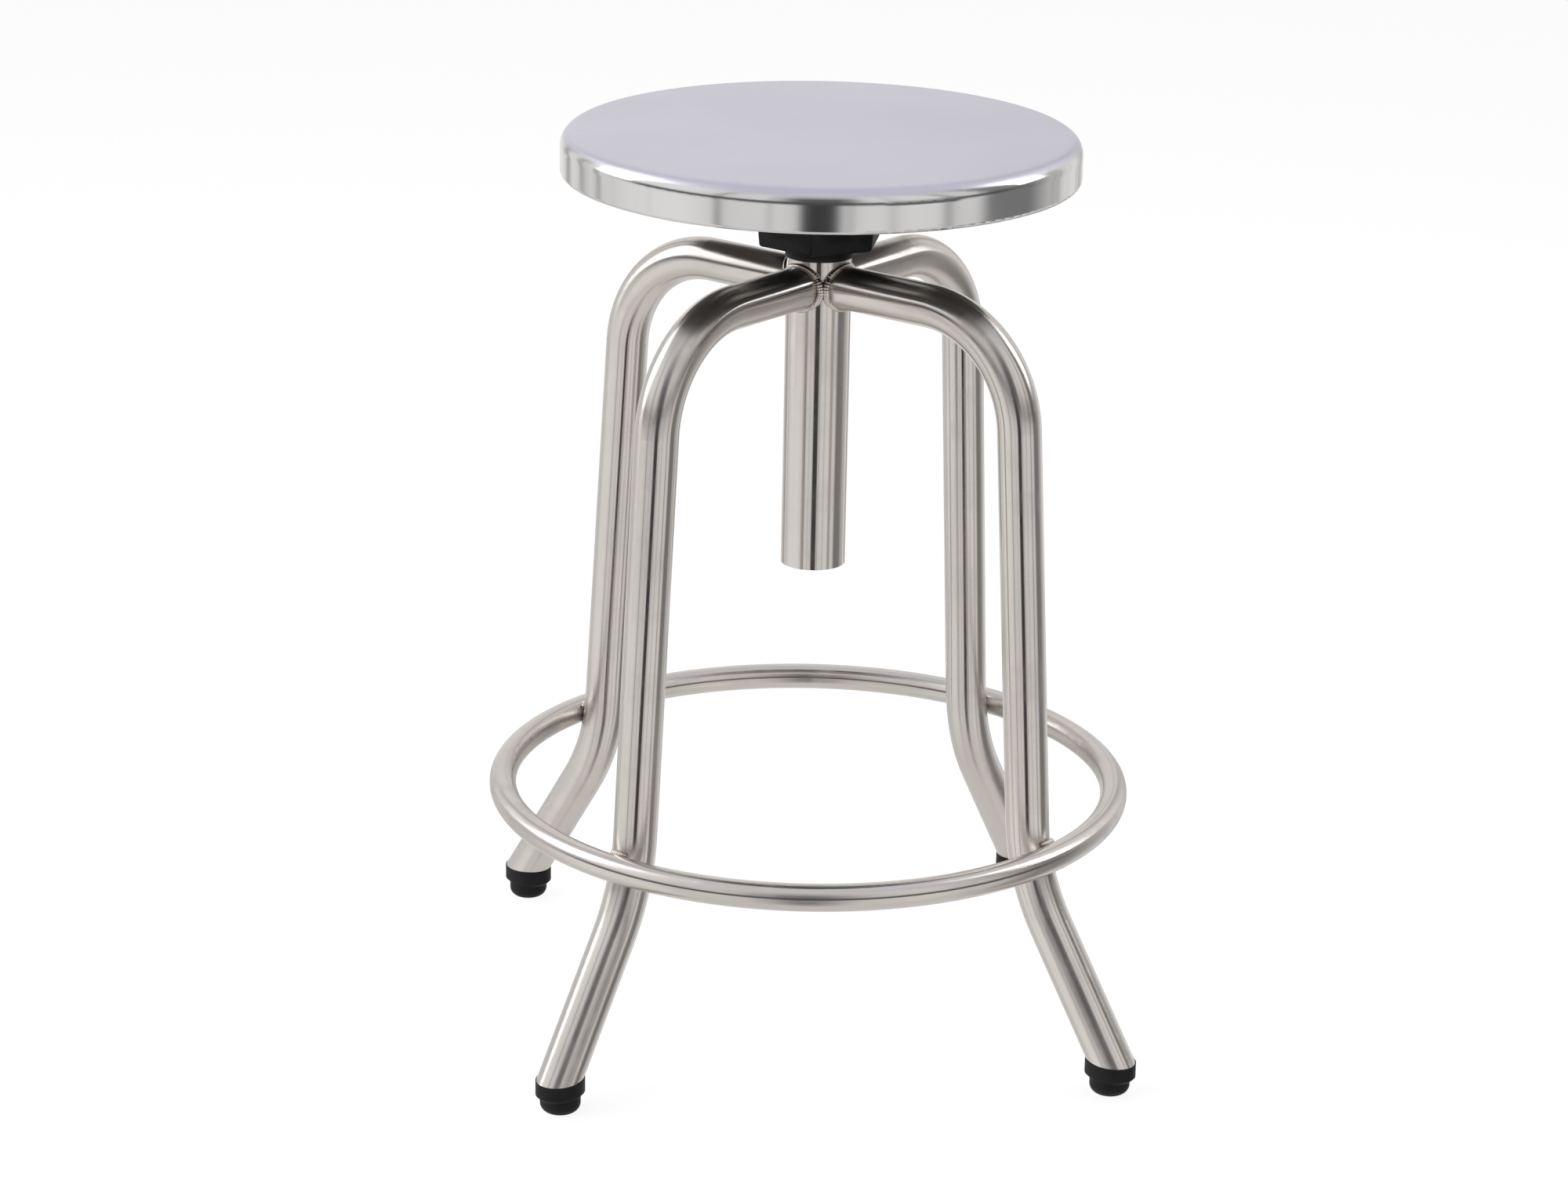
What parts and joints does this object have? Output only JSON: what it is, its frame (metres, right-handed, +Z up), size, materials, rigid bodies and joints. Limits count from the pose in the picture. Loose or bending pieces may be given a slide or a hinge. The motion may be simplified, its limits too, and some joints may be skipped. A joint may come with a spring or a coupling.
{
  "type": "machinist stool",
  "caption": "Revolving steel stool: round pressed seat on a screw spindle with a lock nut, on splayed bent tube legs with a ring foot rest.",
  "frame": {"origin": "on the floor under the axis of the column, the bottom centre of the bounding box", "axes": "+Z up along the column, -Y towards the front, +X to the right seen from the front; the legs stand on the diagonals"},
  "size_m": [0.3838, 0.3838, 0.535],
  "materials": {
    "polished_steel": "polished stainless tube",
    "satin_steel": "satin top with a bright rolled edge",
    "plain_steel": "turned and plain",
    "black_plastic": "moulded, slightly glossy",
    "black_rubber": "moulded, matt",
    "white_nylon": "turned, matt",
    "sealed_board": "birch board sealed black"
  },
  "bodies": {
    "stand": {"column_tube": "polished_steel", "column_nut": "plain_steel", "leg_front_left": "polished_steel", "leg_front_right": "polished_steel", "leg_rear_left": "polished_steel", "leg_rear_right": "polished_steel", "foot_ring": "polished_steel", "foot_front_left": "black_rubber", "foot_front_right": "black_rubber", "foot_rear_left": "black_rubber", "foot_rear_right": "black_rubber"},
    "guide": {"guide_bush": "white_nylon"},
    "seat": {"seat_pan": "satin_steel", "seat_core": "sealed_board", "seat_flange": "plain_steel", "flange_screws": "plain_steel", "spindle": "plain_steel", "spindle_end_washer": "plain_steel", "spindle_end_screw": "plain_steel"},
    "thrust_washer": {"lock_nut_washer": "black_plastic"},
    "lock_nut": {"lock_nut": "black_plastic", "lock_nut_insert": "plain_steel"}
  },
  "joints": [
    {"name": "seat_lift", "type": "slide", "parent": "stand", "child": "guide", "axis": [0, 0, 1], "range_m": [0, 0.1101]},
    {"name": "seat_turn", "type": "hinge", "parent": "guide", "child": "seat", "pos_m": [0, 0, 0.442], "axis": [0, 0, 1], "range_deg": [0, 7920]},
    {"name": "lock_nut_lift", "type": "slide", "parent": "stand", "child": "thrust_washer", "axis": [0, 0, 1], "range_m": [0, 0.0101]},
    {"name": "lock_nut_turn", "type": "hinge", "parent": "thrust_washer", "child": "lock_nut", "pos_m": [0, 0, 0.48], "axis": [0, 0, 1], "range_deg": [0, 720]}
  ],
  "couplings": [
    {"joint": "seat_lift", "follows": "seat_turn", "m_per_rad": 0.00079577},
    {"joint": "lock_nut_lift", "follows": "lock_nut_turn", "m_per_rad": 0.00079577}
  ]
}
